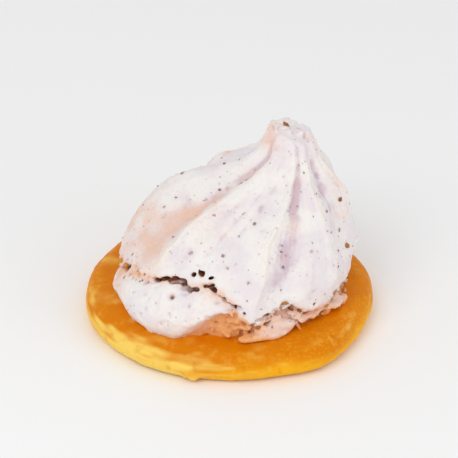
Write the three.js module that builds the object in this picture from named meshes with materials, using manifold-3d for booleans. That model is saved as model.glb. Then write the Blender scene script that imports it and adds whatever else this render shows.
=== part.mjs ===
// A macaron biscuit: a round of shortbread with a tall swirl of nut meringue piped and baked on it.
// Millimetres, +Z up. The origin is in the middle of the round, on the surface that it rests on.
// Angles are degrees round from the front (-Y) towards +X. Heights in the meringue are above its seat.

import * as THREE from 'three';
import { mergeVertices } from 'three/addons/utils/BufferGeometryUtils.js';
import Module from 'manifold-3d';

const wasm = await Module();
wasm.setup();

// Biscuit
const BISCUIT_RADIUS = 29;
const BISCUIT_THICKNESS = 6.6;
// Its edge from the underside to the top: how far inside the widest radius, and the share of the thickness.
const BISCUIT_EDGE = [[3.2, 0], [1.3, 0.07], [0.2, 0.27], [0, 0.5], [0.7, 0.76], [2.4, 0.94], [4.8, 1]];
// The round is a little out of true: waves round it, their share of the radius, and where they start.
const BISCUIT_WAVES = [[2, 0.006, 50], [4, 0.004, -20], [6, 0.002, 100]];
const BISCUIT_SIDES = 84;
const BISCUIT_ROWS = 12;

// Meringue
const SEAT = BISCUIT_THICKNESS;
const MERINGUE_HEIGHT = 34.4;
const MERINGUE_MIDDLE = [1.3, 0.5];
const PEAK_MIDDLE = [12, 4.5];
// Its sections slide from the one to the other between these heights.
const LEAN_FROM = 4;
const LEAN_TO = 29;
// The body's mean radius at heights above the seat.
const BODY = [[0, 22.4], [4, 23.2], [8, 23.2], [12, 22.3], [16, 20], [19.5, 16.6], [22.5, 12.6], [25, 9.3], [27.2, 7],
  [29.5, 5.7], [31.6, 5], [33, 4.1], [34, 2.4], [MERINGUE_HEIGHT, 0]];
// The shoulder is slimmer on these sides: the angle, how far round it reaches, and the share taken off. It starts, is
// full, starts to fade and ends at these heights.
const SLIM_SIDES = [[80, 50, 0.08], [-125, 45, 0.06]];
const SHOULDER = [8, 16, 24, 30];

// The swirl's crests and grooves in turn. Each has its angle and its share of the ridge depth at these heights, and
// how sharp it is. A share above 0 stands out of the mean radius.
const LINE_HEIGHTS = [5, 12, 18, 23, 28];
const LINES = [
  { angles: [-118, -114, -108, -98, -84], shares: [0.1, 0.2, 0.25, 0.2, 0.1], sharp: 0.1 },
  { angles: [-86, -68, -70, -66, -50], shares: [0, -0.9, -1.5, -1.4, -0.9], sharp: 0.2 },
  { angles: [-68, -50, -53, -50, -36], shares: [0.05, 0.2, 0.3, 0.25, 0.1], sharp: 0.8 },
  { angles: [-30, -26, -26, -20, -12], shares: [-0.1, -0.3, -0.45, -0.45, -0.3], sharp: 0 },
  { angles: [8, 7, 0, 5, 7], shares: [0.15, 0.15, 0.15, 0.1, 0.1], sharp: 0.55 },
  { angles: [24, 19, 15, 16, 18], shares: [-0.4, -0.65, -0.8, -0.75, -0.5], sharp: 0.1 },
  { angles: [37, 34, 29, 24, 23], shares: [-0.05, 0, -0.05, -0.1, -0.1], sharp: 0.3 },
  { angles: [52, 53, 44, 33, 30], shares: [0.1, 0.15, 0.15, 0.1, 0.1], sharp: 0.6 },
  { angles: [70, 69, 64, 56, 48], shares: [-0.4, -0.6, -0.75, -0.75, -0.6], sharp: 0.2 },
  { angles: [90, 90, 86, 80, 72], shares: [0, 0.05, 0.1, 0.1, 0], sharp: 0.3 },
  { angles: [108, 109, 108, 106, 104], shares: [-0.5, -0.8, -0.8, -0.8, -0.6], sharp: 0.1 },
  { angles: [124, 126, 130, 134, 138], shares: [0.05, 0.1, 0.1, 0.1, 0.1], sharp: 0.5 },
  { angles: [142, 144, 150, 156, 162], shares: [-0.5, -0.8, -0.9, -0.8, -0.6], sharp: 0.1 },
  { angles: [160, 164, 171, 181, 190], shares: [0.05, 0.1, 0.1, 0.1, 0.1], sharp: 0.5 },
  { angles: [180, 184, 191, 202, 212], shares: [-0.5, -0.9, -1, -0.9, -0.6], sharp: 0.1 },
  { angles: [202, 205, 211, 220, 233], shares: [0.05, 0.1, 0.1, 0.1, 0.1], sharp: 0.6 },
  { angles: [222, 224, 230, 240, 254], shares: [-0.4, -0.6, -0.7, -0.6, -0.5], sharp: 0.1 },
];
const RIDGE_DEPTH = [[0, 1.4], [5, 2], [12, 3], [18, 3.4], [24, 2.8], [28, 1.6], [31.5, 0.8], [33.4, 0.3],
  [MERINGUE_HEIGHT, 0]];
// How much steeper than the mean slope beside it the fully sharp line is.
const SHARP_SLOPE = 1.6;

// The body's lower lip, which hangs over the foot: angle and height.
const LIP = [[-180, 3.6], [-150, 2.6], [-120, 4.2], [-98, 4.4], [-80, 5.2], [-58, 7.9], [-38, 9.6], [-16, 10.4],
  [-5, 8.4], [3, 5.2], [9, 2.8], [17, 4.8], [28, 5], [43, 3.2], [56, 3.6], [70, 1.9], [88, 2.4], [112, 3.6],
  [140, 2.6]];
const LIP_JAGS = { depth: 0.35, width: 2.4 };
const LIP_ROUNDING = 0.3;

// The baking crack under the lip: its height and depth all round, and what is added where it gapes.
const CRACK_HEIGHT = 0.7;
const CRACK_DEPTH = 1.6;
const CRACK_GAPE = { angle: -40, width: 27, height: 0.9, depth: 2.6 };

// The foot below the crack: a smooth lobe at the front left, and a ragged, recessed band everywhere else.
const LOBE = { start: -104, startFade: 30, lowEnd: -30, highEnd: -4, endFade: 12, base: 1.6, bulge: 3.2 };
const FOOT_RADIUS = 21.6;
const FOOT_WAVES = { count: 5, depth: 0.3, start: 20 };
const FOOT_BULGE = 0.2;
// How far inside the lip the top of the lobe and of the rest of the foot are.
const LOBE_INSIDE = 0.5;
const FOOT_INSIDE = 1.7;
const CRAGS = { depth: 0.7, width: 2.1, height: 1.3 };
// Share of the foot's height over which its roughness grows to its full depth.
const CRAG_GROWTH = 0.1;

// The peak's blunt end has a nub to each side of a shallow dip: angle, width and height.
const NUBS = [[-80, 38, 1], [85, 34, 0.8]];
const NUB_FROM = 30.5;
const NUB_TO = 33;
const PEAK_RADIUS = 4;

// Soft dents of the surface: their size and depth. They fade out where the radius is under this.
const DENTS = [[5, 0.35], [1.9, 0.12]];
const DENT_RADIUS = 6;

const MERINGUE_SIDES = 120;
const FOOT_ROWS = 6;
const CRACK_ROWS = 2;
const BODY_ROWS = 31;
const CURVE_STEPS = 24;

// Nut pieces half sunk in the meringue
const NUTS_IN_FOOT = 16;
const NUTS_IN_BODY = 9;
const NUT_RADIUS = [0.6, 1.1];
const NUT_FLATNESS = 0.65;
const NUT_SUNK = 0.2;
// They are between these shares of the foot's height, and on the body from this far above the lip up to this height.
const NUT_FOOT_BAND = [0.35, 0.75];
const NUT_ABOVE_LIP = 3;
const NUT_TOP = 24;
const NUT_SEED = 7;

const radians = THREE.MathUtils.degToRad;
const { clamp, euclideanModulo, lerp, smoothstep } = THREE.MathUtils;
const smooth = (x) => smoothstep(x, 0, 1);

// A rounded hill of height 1 at one angle, fading over a width.
function hill(angle, centre, width) {
  const away = euclideanModulo(angle - centre + 180, 360) - 180;
  return Math.exp(-((away / width) ** 2));
}

// The value at x on straight lines through [x, value] rows.
function along(rows, x) {
  const last = rows.length - 2;
  let k = 0;
  while (k < last && x > rows[k + 1][0]) k += 1;
  const share = clamp((x - rows[k][0]) / (rows[k + 1][0] - rows[k][0]), 0, 1);
  return lerp(rows[k][1], rows[k + 1][1], share);
}

// The value at an angle on a soft line through [angle, value] rows, once round.
function roundTheClock(rows, angle) {
  const start = rows[0][0];
  const x = euclideanModulo(angle - start, 360) + start;
  const closed = [...rows, [start + 360, rows[0][1]]];
  let k = 0;
  while (x > closed[k + 1][0]) k += 1;
  const share = (x - closed[k][0]) / (closed[k + 1][0] - closed[k][0]);
  return lerp(closed[k][1], closed[k + 1][1], smooth(share));
}

// A number from 0 to 1 that belongs to a cell of the space.
function cellNumber(i, j, k) {
  const s = Math.sin(i * 127.1 + j * 311.7 + k * 74.7) * 43758.5453;
  return s - Math.floor(s);
}

// Smooth noise from -1 to 1, with cells of side 1.
function noise(x, y, z) {
  const cell = [x, y, z].map(Math.floor);
  const share = [smooth(x - cell[0]), smooth(y - cell[1]), smooth(z - cell[2])];
  let total = 0;
  for (let corner = 0; corner < 8; corner += 1) {
    const step = [corner & 1, (corner >> 1) & 1, (corner >> 2) & 1];
    const [u, v, w] = step.map((far, axis) => (far ? share[axis] : 1 - share[axis]));
    total += u * v * w * cellNumber(...cell.map((start, axis) => start + step[axis]));
  }
  return 2 * total - 1;
}

// Noise at an angle, radius and height, with cells of the given width and height.
function noiseAt(angle, radius, height, width, tall = width) {
  const a = radians(angle);
  return noise((radius * Math.sin(a)) / width, (radius * Math.cos(a)) / width, height / tall);
}

// The crests and grooves as [angle, share, sharpness] at one height.
function linesAt(height) {
  return LINES.map((line) => {
    const angle = along(LINE_HEIGHTS.map((h, k) => [h, line.angles[k]]), height);
    const share = along(LINE_HEIGHTS.map((h, k) => [h, line.shares[k]]), height);
    return [angle, share, line.sharp];
  });
}

// Share of the ridge depth at an angle and height, on a curve through that height's crests and grooves.
function ridgeShare(angle, height) {
  const lines = linesAt(height);
  const start = lines[0][0];
  const x = euclideanModulo(angle - start, 360) + start;
  const closed = [...lines, [start + 360, lines[0][1], lines[0][2]]];
  let k = 0;
  while (x > closed[k + 1][0]) k += 1;
  const [angle0, share0, sharp0] = closed[k];
  const [angle1, share1, sharp1] = closed[k + 1];
  const f = (x - angle0) / (angle1 - angle0);
  const rise = share1 - share0;
  const slope = SHARP_SLOPE * rise;
  const leave = sharp0 * slope * (f ** 3 - 2 * f ** 2 + f);
  const arrive = sharp1 * slope * (f ** 3 - f ** 2);
  return share0 + rise * smooth(f) + leave + arrive;
}

const bodyLine = new THREE.SplineCurve(BODY.map(([h, r]) => new THREE.Vector2(h, r)))
  .getPoints(CURVE_STEPS * (BODY.length - 1))
  .map((point) => [point.x, point.y]);

// How far along the body's line each of its heights is, and the other way round.
const lengthAtHeight = [[0, 0]];
for (let k = 1; k < bodyLine.length; k += 1) {
  const step = Math.hypot(bodyLine[k][0] - bodyLine[k - 1][0], bodyLine[k][1] - bodyLine[k - 1][1]);
  lengthAtHeight.push([bodyLine[k][0], lengthAtHeight.at(-1)[1] + step]);
}
const heightAtLength = lengthAtHeight.map(([height, length]) => [length, height]);

// Radius of the piped body.
function bodyRadius(angle, height) {
  const [start, full, fade, end] = SHOULDER;
  const shoulder = smoothstep(height, start, full) * (1 - smoothstep(height, fade, end));
  let radius = along(bodyLine, height);
  for (const [centre, width, share] of SLIM_SIDES) radius *= 1 - share * hill(angle, centre, width) * shoulder;
  radius += ridgeShare(angle, height) * along(RIDGE_DEPTH, height);
  return Math.max(radius, 0);
}

// A point of the meringue. Its sections slide over towards the peak as they rise.
function meringuePoint(angle, radius, height) {
  const lean = smoothstep(height, LEAN_FROM, LEAN_TO);
  const a = radians(angle);
  let nub = 0;
  for (const [centre, width, rise] of NUBS) nub += rise * hill(angle, centre, width);
  nub *= smoothstep(height, NUB_FROM, NUB_TO) * Math.min(radius / PEAK_RADIUS, 1);
  return new THREE.Vector3(
    lerp(MERINGUE_MIDDLE[0], PEAK_MIDDLE[0], lean) + radius * Math.sin(a),
    lerp(MERINGUE_MIDDLE[1], PEAK_MIDDLE[1], lean) - radius * Math.cos(a),
    height + nub,
  );
}

// How much of the smooth lobe there is at an angle and a share of the foot's height. Its end leans to the right.
function lobeAt(angle, up) {
  const a = euclideanModulo(angle + 180, 360) - 180;
  const end = lerp(LOBE.lowEnd, LOBE.highEnd, up);
  return smooth((a - LOBE.start) / LOBE.startFade) * (1 - smooth((a - end) / LOBE.endFade));
}

function lipHeight(angle) {
  return roundTheClock(LIP, angle) + LIP_JAGS.depth * noiseAt(angle, FOOT_RADIUS, LIP_JAGS.width / 2, LIP_JAGS.width);
}

function crackHeight(angle) {
  return CRACK_HEIGHT + CRACK_GAPE.height * hill(angle, CRACK_GAPE.angle, CRACK_GAPE.width);
}

// The foot's radius and height at an angle and a share of the way up it.
function footSection(angle, up) {
  const lobe = lobeAt(angle, up);
  const lip = lipHeight(angle);
  const wave = FOOT_WAVES.depth * Math.cos(radians(FOOT_WAVES.count * angle + FOOT_WAVES.start));
  const base = FOOT_RADIUS + LOBE.base * lobe + wave;
  const bulge = FOOT_RADIUS + FOOT_BULGE + LOBE.bulge * lobe;
  const edge = bodyRadius(angle, lip) - lerp(FOOT_INSIDE, LOBE_INSIDE, lobe);
  const pull = 2 * bulge - (base + edge) / 2;
  const height = up * (lip - crackHeight(angle) / 2);
  const crag = CRAGS.depth * (1 - lobe) * noiseAt(angle, FOOT_RADIUS, height, CRAGS.width, CRAGS.height);
  const dent = DENTS[0][1] * noiseAt(angle, FOOT_RADIUS, height, DENTS[0][0]);
  const smoothRadius = (1 - up) ** 2 * base + 2 * up * (1 - up) * pull + up ** 2 * edge;
  const radius = smoothRadius + (crag + dent) * smoothstep(up, -CRAG_GROWTH, CRAG_GROWTH);
  return [radius, height];
}

// The meringue's outline at one angle, from the middle of its base up to its tip, as [radius, height].
function meringueSection(angle) {
  const lip = lipHeight(angle);
  const half = crackHeight(angle) / 2;
  const section = [[0, 0]];
  for (let row = 0; row <= FOOT_ROWS; row += 1) section.push(footSection(angle, row / FOOT_ROWS));
  const footEdge = section.at(-1)[0];
  const depth = CRACK_DEPTH + CRACK_GAPE.depth * hill(angle, CRACK_GAPE.angle, CRACK_GAPE.width);
  for (let row = 1; row <= CRACK_ROWS; row += 1) {
    const inward = row / CRACK_ROWS;
    section.push([footEdge - depth * inward, lip - half * (1 - inward)]);
  }
  const lipEdge = bodyRadius(angle, lip) - LIP_ROUNDING;
  for (let row = 1; row <= CRACK_ROWS; row += 1) {
    const outward = row / CRACK_ROWS;
    section.push([lerp(footEdge - depth, lipEdge, outward), lip + half * outward]);
  }
  const fromLip = along(lengthAtHeight, lip + half);
  const toTip = along(lengthAtHeight, MERINGUE_HEIGHT);
  for (let row = 1; row < BODY_ROWS; row += 1) {
    const height = along(heightAtLength, lerp(fromLip, toTip, row / BODY_ROWS));
    let radius = bodyRadius(angle, height);
    const fade = Math.min(radius / DENT_RADIUS, 1);
    for (const [size, dent] of DENTS) radius += dent * fade * noiseAt(angle, radius, height, size);
    section.push([radius, height]);
  }
  section.push([0, MERINGUE_HEIGHT]);
  return section;
}

// A lathe whose outline changes round it: pointAt(angle) gives the point of each row.
function shapedLathe(rows, sides, pointAt) {
  const outline = Array.from({ length: rows }, (_, row) => new THREE.Vector2(0, row));
  const geometry = new THREE.LatheGeometry(outline, sides);
  const position = geometry.attributes.position;
  for (let side = 0; side <= sides; side += 1) {
    const points = pointAt((360 * (side % sides)) / sides);
    points.forEach((point, row) => position.setXYZ(side * rows + row, point.x, point.y, point.z));
  }
  return closeUp(geometry);
}

// One closed skin: shared vertices merged, and no triangle that has lost its area at the axis.
function closeUp(geometry) {
  geometry.deleteAttribute('normal');
  geometry.deleteAttribute('uv');
  const merged = mergeVertices(geometry, 1e-4);
  const index = merged.index.array;
  const kept = [];
  for (let k = 0; k < index.length; k += 3) {
    const [a, b, c] = index.slice(k, k + 3);
    if (a !== b && b !== c && c !== a) kept.push(a, b, c);
  }
  merged.setIndex(kept);
  return merged;
}

function toSolid(geometry) {
  const mesh = new wasm.Mesh({
    numProp: 3,
    vertProperties: new Float32Array(geometry.attributes.position.array),
    triVerts: new Uint32Array(geometry.index.array),
  });
  return new wasm.Manifold(mesh);
}

function fromSolid(solid) {
  const mesh = solid.getMesh();
  const geometry = new THREE.BufferGeometry();
  geometry.setAttribute('position', new THREE.BufferAttribute(mesh.vertProperties, 3));
  geometry.setIndex(new THREE.BufferAttribute(mesh.triVerts, 1));
  geometry.computeVertexNormals();
  return geometry;
}

// A seeded row of numbers from 0 to 1.
function seededRandom(seed) {
  let state = seed;
  return () => {
    state = (Math.imul(state, 1664525) + 1013904223) >>> 0;
    return state / 2 ** 32;
  };
}

// One angular chip of nut, half sunk at a point of the surface.
function nutAt(point, random) {
  const size = () => lerp(...NUT_RADIUS, random());
  const turn = new THREE.Euler(2 * Math.PI * random(), 2 * Math.PI * random(), 2 * Math.PI * random());
  const chip = new THREE.IcosahedronGeometry(1, 0);
  chip.scale(size(), size(), size() * NUT_FLATNESS);
  chip.applyMatrix4(new THREE.Matrix4().makeRotationFromEuler(turn));
  chip.translate(point.x, point.y, point.z);
  return toSolid(closeUp(chip));
}

// Points for the nuts: most in the ragged part of the foot, the rest over the body, and one on the peak.
function nutPoints(random) {
  const points = [meringuePoint(0, NUT_RADIUS[1], MERINGUE_HEIGHT - NUT_SUNK)];
  const free = 360 - (LOBE.highEnd + LOBE.endFade - LOBE.start);
  for (let k = 0; k < NUTS_IN_FOOT; k += 1) {
    const angle = LOBE.highEnd + LOBE.endFade + (free * (k + random())) / NUTS_IN_FOOT;
    const [radius, height] = footSection(angle, lerp(...NUT_FOOT_BAND, random()));
    points.push(meringuePoint(angle, radius - NUT_SUNK, height));
  }
  for (let k = 0; k < NUTS_IN_BODY; k += 1) {
    const angle = (360 * (k + random())) / NUTS_IN_BODY;
    const height = lerp(lipHeight(angle) + NUT_ABOVE_LIP, NUT_TOP, random());
    points.push(meringuePoint(angle, bodyRadius(angle, height) - NUT_SUNK, height));
  }
  return points;
}

function makeMeringue() {
  const rows = meringueSection(0).length;
  const skin = shapedLathe(rows, MERINGUE_SIDES, (angle) => (
    meringueSection(angle).map(([radius, height]) => meringuePoint(angle, radius, height))
  ));
  const random = seededRandom(NUT_SEED);
  let solid = toSolid(skin);
  for (const point of nutPoints(random)) solid = solid.add(nutAt(point, random));
  return fromSolid(solid);
}

function makeBiscuit() {
  const edge = new THREE.SplineCurve(BISCUIT_EDGE.map(([inside, up]) => (
    new THREE.Vector2(BISCUIT_RADIUS - inside, BISCUIT_THICKNESS * up)
  ))).getPoints(BISCUIT_ROWS);
  const outline = [new THREE.Vector2(0, 0), ...edge, new THREE.Vector2(0, BISCUIT_THICKNESS)];
  return shapedLathe(outline.length, BISCUIT_SIDES, (angle) => {
    let wave = 1;
    for (const [count, share, start] of BISCUIT_WAVES) wave += share * Math.cos(radians(count * angle + start));
    const a = radians(angle);
    return outline.map(({ x, y }) => new THREE.Vector3(x * wave * Math.sin(a), -x * wave * Math.cos(a), y));
  });
}

function named(name, geometry, colour, roughness) {
  const material = new THREE.MeshStandardMaterial({ color: colour, roughness, metalness: 0 });
  const mesh = new THREE.Mesh(geometry, material);
  mesh.name = name;
  return mesh;
}

const group = new THREE.Group();
const biscuit = named('biscuit', makeBiscuit(), 0xe59a20, 0.7);
const meringue = named('meringue', makeMeringue(), 0xf1e8e4, 0.85);
meringue.position.z = SEAT;
group.add(biscuit, meringue);

export default group;
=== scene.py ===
"""The looks of a macaron biscuit: a round of shortbread with a tall swirl of nut meringue baked on it.

Arrays are in millimetres, in the model's frame: +Z up, the front at -Y. Angles are degrees round from the
front towards +X. Heights in the meringue are above its seat on the biscuit.
"""

import math

import bmesh
import bpy
import numpy as np
import openvdb
from mathutils import Euler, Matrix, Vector


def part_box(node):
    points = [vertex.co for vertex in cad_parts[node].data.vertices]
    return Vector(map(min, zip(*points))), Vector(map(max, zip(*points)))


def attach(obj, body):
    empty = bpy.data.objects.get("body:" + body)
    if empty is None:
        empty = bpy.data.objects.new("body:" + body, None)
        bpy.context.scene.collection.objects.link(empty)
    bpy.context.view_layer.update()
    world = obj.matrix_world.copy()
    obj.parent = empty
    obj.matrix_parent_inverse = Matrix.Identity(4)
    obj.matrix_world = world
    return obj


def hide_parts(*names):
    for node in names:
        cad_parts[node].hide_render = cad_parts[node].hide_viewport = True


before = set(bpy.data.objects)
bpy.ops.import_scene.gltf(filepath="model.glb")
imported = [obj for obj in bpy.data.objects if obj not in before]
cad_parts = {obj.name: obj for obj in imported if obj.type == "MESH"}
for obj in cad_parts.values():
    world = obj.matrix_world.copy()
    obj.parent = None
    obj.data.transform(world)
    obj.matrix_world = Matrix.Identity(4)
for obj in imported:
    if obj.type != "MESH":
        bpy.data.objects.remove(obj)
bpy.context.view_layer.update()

MM = 0.001

# Sizes read from the frame
meringue_low, meringue_high = (np.array(corner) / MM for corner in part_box("meringue"))
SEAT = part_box("biscuit")[1][2] / MM

# Biscuit: the sizes of its solid
BISCUIT_RADIUS = 29.0
# Its edge from the underside to the top: how far inside the widest radius, and the share of the thickness
BISCUIT_EDGE = [(3.2, 0), (1.3, 0.07), (0.2, 0.27), (0, 0.5), (0.7, 0.76), (2.4, 0.94), (4.8, 1)]
# Waves round it: how many, their share of the radius, and where they start
BISCUIT_WAVES = [(2, 0.006, 50), (4, 0.004, -20), (6, 0.002, 100)]

# Finer form that only the biscuit's skin has
BISCUIT_SIDES = 600
EDGE_STEPS, FLAT_ROWS = 12, 24
# Bulges of the rim: angle, width and share of the radius
RIM_BULGES = [(41, 15, 0.05), (-3, 14, -0.022), (33, 9, 0.016)]
# Crumbs on the rim: angle, height and size
RIM_CRUMBS = [(-14, 0.6, 1.0), (-15, 2.2, 1.5), (-18, 1.5, 0.6), (62, 1.2, 0.6), (131, 1.1, 0.8),
              (-97, 1.4, 0.7), (-160, 1.0, 0.8)]
CRUMBS_AT, CRUMB_LIFT = 28.6, 0.4
# Unevenness: cell size, shift and height of each noise
BISCUIT_RELIEF = [(9.0, 2.2, 0.22), (3.1, 5.5, 0.10), (1.1, 8.8, 0.045), (0.55, 1.7, 0.03)]
# Smears round the rim: length, height, shift and strength of each noise
SMEARS = [(5.5, 0.75, 0.5, 1), (2.2, 0.4, 4.5, 0.6)]
SMEAR_LIFT, SMEARED_RIM = 0.06, 4
PIT_SIZE, PIT_FROM, PIT_DEPTH = 1.6, 0.6, 0.4
# The golden top turns yellow down the side and a little on the rim, and paler at the front left, all of it
# painted light from the lamps and the white floor
YELLOW_SIDE, YELLOW_RIM = (0.85, 0.4, 5.8), (0.15, 24, 28.5)
PALE_SHARE, PALE_SIDE, PALE_TO = 0.12, (-42, 34, 0.8), (3.4, SEAT + 1.2)
GRAINY_SIDE, GRAINY_FROM = (50, 20), (20, 25)

# Meringue: the sizes of its solid, but for a slimmer right side, deeper folds on the peak and a finer lip
HEIGHT = 34.4
MIDDLE = (1.3, 0.5)
PEAK_MIDDLE = (12.0, 4.5)
LEAN_FROM, LEAN_TO = 4, 29
BODY = [(0, 22.4), (4, 23.2), (8, 23.2), (12, 22.3), (16, 20), (19.5, 16.6), (22.5, 12.6), (25, 9.3),
        (27.2, 7), (29.5, 5.7), (31.6, 5), (33, 4.1), (34, 2.4), (HEIGHT, 0)]
# Slimmer sides: angle, width and share of the radius, and the heights where the shoulder starts and ends
SLIM_SIDES = [(80, 50, 0.12), (-125, 45, 0.06)]
SHOULDER = (8, 16), (24, 30)
LINE_HEIGHTS = [5, 12, 18, 23, 28]
# Crests and grooves of the swirl: angles and shares of the ridge depth at those heights, and sharpness.
LINES = [
    ((-118, -114, -108, -98, -84), (0.1, 0.2, 0.25, 0.2, 0.1), 0.1),
    ((-86, -68, -70, -66, -50), (0, -0.9, -1.5, -1.4, -0.9), 0.2),
    ((-68, -50, -53, -50, -36), (0.05, 0.2, 0.3, 0.25, 0.1), 0.8),
    ((-30, -26, -26, -20, -12), (-0.1, -0.3, -0.45, -0.45, -0.3), 0),
    ((8, 7, 0, 5, 7), (0.15, 0.15, 0.15, 0.1, 0.1), 0.55),
    ((24, 19, 15, 16, 18), (-0.4, -0.65, -0.8, -0.75, -0.5), 0.1),
    ((37, 34, 29, 24, 23), (-0.05, 0, -0.05, -0.1, -0.1), 0.3),
    ((52, 53, 44, 33, 30), (0.1, 0.15, 0.15, 0.1, 0.1), 0.6),
    ((70, 69, 64, 56, 48), (-0.4, -0.6, -0.75, -0.75, -0.6), 0.2),
    ((90, 90, 86, 80, 72), (0, 0.05, 0.1, 0.1, 0), 0.3),
    ((108, 109, 108, 106, 104), (-0.5, -0.8, -0.8, -0.8, -0.6), 0.1),
    ((124, 126, 130, 134, 138), (0.05, 0.1, 0.1, 0.1, 0.1), 0.5),
    ((142, 144, 150, 156, 162), (-0.5, -0.8, -0.9, -0.8, -0.6), 0.1),
    ((160, 164, 171, 181, 190), (0.05, 0.1, 0.1, 0.1, 0.1), 0.5),
    ((180, 184, 191, 202, 212), (-0.5, -0.9, -1, -0.9, -0.6), 0.1),
    ((202, 205, 211, 220, 233), (0.05, 0.1, 0.1, 0.1, 0.1), 0.6),
    ((222, 224, 230, 240, 254), (-0.4, -0.6, -0.7, -0.6, -0.5), 0.1),
]
RIDGE_DEPTH = [(0, 1.4), (5, 2), (12, 3), (18, 3.4), (24, 2.8), (28, 1.7), (31.5, 1.4), (33.4, 1.0),
               (HEIGHT, 0)]
SHARP_SLOPE = 1.6
LIP = [(-180, 3.6), (-150, 2.6), (-120, 4.2), (-98, 4.4), (-80, 5.2), (-58, 8.4), (-46, 9.1), (-37, 10.1),
       (-28, 9.6), (-19, 10.6), (-12, 9.8), (-5, 8.4), (3, 5.2), (9, 2.8), (17, 4.8), (28, 5), (43, 3.2),
       (56, 3.6), (70, 1.9), (88, 2.4), (112, 3.6), (140, 2.6)]
CRACK_HEIGHT, CRACK_DEPTH = 0.7, 1.6
GAPE_ANGLE, GAPE_WIDTH, GAPE_HEIGHT, GAPE_DEPTH = -40, 27, 0.9, 2.6
LOBE_START, LOBE_START_FADE, LOBE_LOW_END, LOBE_HIGH_END, LOBE_END_FADE = -104, 30, -30, -4, 9
LOBE_BASE, LOBE_BULGE = 1.6, 3.2
FOOT_RADIUS, FOOT_BULGE, FOOT_WAVES = 21.6, 0.2, (5, 0.3, 20)
LOBE_INSIDE, FOOT_INSIDE = 0.5, 1.7

# Finer form that only the meringue's skin has
LOBE_CORNER, LOBE_CORNER_WIDTH, CORNER_BASE, CORNER_BULGE = -43, 19, 3.0, 1.3
# The left shoulder bulges: angle, width and height of the bulge, and the heights where it starts and ends
LEFT_SHOULDER, LEFT_SHOULDER_AT = (-103, 21, 2.9), ((8, 17), (19, 27))
BEADS = [0, 0, 0.38, 0, 0.24, 0, 0.16, 0.26, 0, 0.2, 0, 0.25, 0, 0.28, 0, 0.28, 0]  # thin line on each crest
BEAD_WIDTH, BEAD_FROM, BEAD_TO = 0.6, (5, 10), (26, 31)
# The ridge at the back left is raised and torn along its top
TORN_RIDGE, TORN_HEIGHT, TORN_WIDTH, TORN_FROM, TORN_TO = 15, 2.4, 2.4, (5, 17), (19, 29)
# Widths and heights of the unevenness of the torn lip, and of the gap under it
TEAR_WAVES = [(4.4, 0.6), (1.9, 0.45), (0.9, 0.12)]
GAP_WAVES = [(4.8, 0.7), (2.3, 1.0), (1.1, 0.45)]
# Holes above the crack and under the lip: angle, height and the three radii (sideways, out, up)
HOLES = [(-8.5, 8.8, (0.4, 0.9, 0.3)), (-61, 8.6, (0.55, 0.9, 0.4)), (-66, 8.3, (0.5, 0.8, 0.4)),
         (-71, 7.3, (0.6, 0.8, 0.4)), (-0.5, 7.3, (1.1, 2.0, 0.6)), (3.5, 6.2, (0.4, 0.7, 0.5)),
         (15.5, 5.0, (1.2, 1.6, 0.5)), (11.5, 4.4, (1.1, 1.5, 0.5)), (8, 3.6, (0.8, 1.2, 0.45)),
         (20, 5.4, (0.9, 1.1, 0.5)), (70, 2.9, (0.8, 1.0, 0.8)), (58.5, 4.2, (0.8, 1.2, 0.7)),
         (77, 3.8, (0.6, 1.0, 0.7)), (24, 6.4, (0.7, 0.8, 0.5)), (29, 5.0, (0.7, 0.9, 0.6))]
# Dark openings of the crack, and pits above it: angle, height, and half the width and height
OPENINGS = [(-54.5, 8.8, 0.5, 0.36), (-47.5, 9.0, 0.8, 0.4), (-44, 9.2, 0.9, 0.45), (-40.5, 9.9, 1.2, 0.6),
            (-37, 10.3, 1.3, 0.65), (-33.5, 10.2, 1.1, 0.6), (-31, 9.5, 0.8, 0.5), (-28, 9.4, 1.0, 0.55),
            (-25, 9.7, 0.9, 0.5), (-21, 10.6, 0.9, 0.42), (-18.5, 10.8, 0.9, 0.42), (-15.5, 10.2, 0.7, 0.4),
            (-30.5, 11.8, 0.3, 0.2), (-26.5, 12.0, 0.5, 0.22), (-19.5, 12.0, 0.65, 0.32)]
OPENING_DEPTH, OPENING_TILT = 3.2, 28
# The crack is shut apart from its openings, and its lip is calmer there: where that starts and ends
PINCHED_FROM, PINCHED_TO = (-72, -58), (-8, 0)
SHUT, SHUT_AT_END, SHUT_END_FROM, CALM_LIP, THINNEST_GAP = 0.85, 0.1, (-17, -12), 0.8, 0.02
# Elsewhere it is lower than the solid's, tapers inwards under the drooping lip, and the foot rises in it
CRACK_LOWER, CRACK_REACH, CRACK_TAPER, CRACK_TAPER_TO = 0.2, 6, 0.5, 4
LIP_DROOP, LIP_DROOP_REACH = 0.5, 0.9
FOOT_RISE, FOOT_RISE_FROM = 0.5, (1, 4)
# Its edges are rounded by this much, and its walls slope by this much
LIP_ROUND, FOOT_ROUND, WALL_SLOPE, FOOT_SLOPE = 0.6, 0.5, 0.9, 0.95
# The solid core behind it ends this far above the lip, and the meringue is sunk this far in the biscuit
CORE_RISE, SUNK = 3, 0.25
# Drips and flaps: angle, height, how far out from the foot, and the three radii
FLAPS = [(7, 4.0, 1.3, (0.75, 0.8, 1.9)), (15, 0.8, 0.9, (5.6, 1.9, 0.9)), (23, 1.9, 0.3, (3.0, 1.5, 1.7)),
         (62, 1.1, 1.0, (3.4, 1.4, 0.8)), (55, 1.9, 1.0, (1.6, 1.1, 0.5)), (38, 1.9, 0.3, (1.6, 1.2, 0.7)),
         (95, 1.2, 0.4, (2.2, 1.2, 0.6)), (128, 1.0, 0.4, (3.2, 1.3, 0.7)), (165, 1.3, 0.5, (2.4, 1.4, 0.6)),
         (-152, 1.1, 0.4, (3.0, 1.3, 0.7)), (-118, 1.3, 0.3, (1.8, 1.2, 0.6))]
# The foot's smooth patch at the front right, and the crack's crumbly end: angle, width and strength
SMOOTH_PATCH, CRUMBLY_END = (24, 9, 0.8), (-66, 13, 0.9)
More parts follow.
